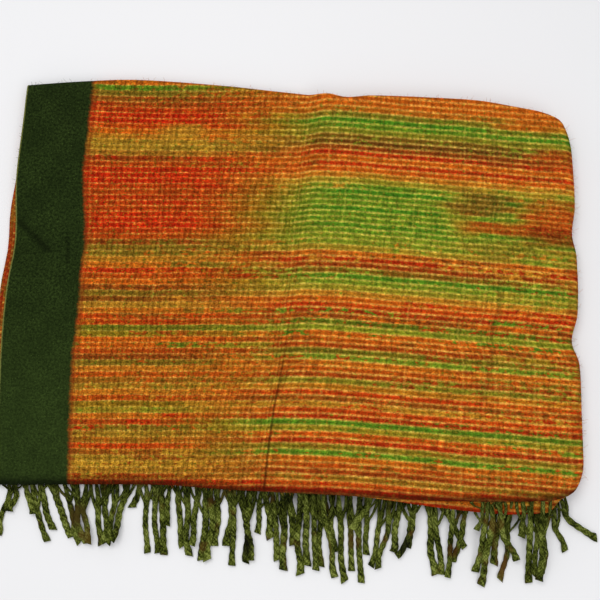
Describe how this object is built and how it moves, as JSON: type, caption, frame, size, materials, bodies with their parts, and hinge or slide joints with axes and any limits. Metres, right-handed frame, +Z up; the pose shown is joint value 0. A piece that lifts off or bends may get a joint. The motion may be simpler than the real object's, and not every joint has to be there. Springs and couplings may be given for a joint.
{
  "type": "folded wool blanket",
  "caption": "Brushed wool blanket folded into a flat pack, thicker at one side, with a plain felted border and twisted fringes along the near edge.",
  "frame": {"origin": "under the middle of the whole part's box, on the surface it lies on", "axes": "+X across the folded pack from the plain border to the end fold, +Y from the fringe to the far folds, +Z up"},
  "size_m": [0.7178, 0.6098, 0.032],
  "materials": {
    "wool_cloth": "brushed wool, space-dyed weft in a small check, felted border",
    "wool_fringe": "two-ply twisted wool yarn"
  },
  "bodies": {
    "root": {"blanket": "wool_cloth", "fringe_first_end": "wool_fringe", "fringe_second_end": "wool_fringe"}
  },
  "joints": []
}
